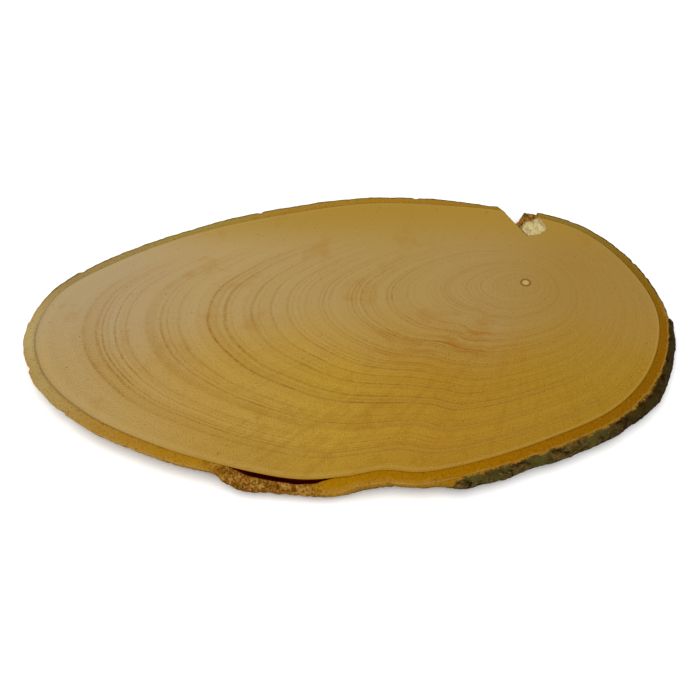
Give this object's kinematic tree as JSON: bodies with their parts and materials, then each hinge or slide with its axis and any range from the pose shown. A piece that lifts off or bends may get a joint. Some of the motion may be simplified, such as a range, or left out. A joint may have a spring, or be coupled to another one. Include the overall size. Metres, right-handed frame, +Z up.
{
  "type": "wood slice",
  "caption": "Flat oval slice of a log, sawn on a slant, with growth rings off centre, bark left on the edge, a sprung piece of bark and a chip out of one side.",
  "frame": {"origin": "on the underside plane, under the middle of the slice's bounding box", "axes": "+X along the slice's long axis towards the blunt end, where the pith lies nearer; +Y towards the chipped long edge; +Z up, out of the top face"},
  "size_m": [0.3004, 0.186, 0.01],
  "materials": {
    "wood": "fine sawn and lightly sanded, satin, unvarnished",
    "bark": "rough dark bark with an orange-brown inner layer, matt"
  },
  "bodies": {
    "root": {"wood_slice": "wood"}
  },
  "joints": []
}
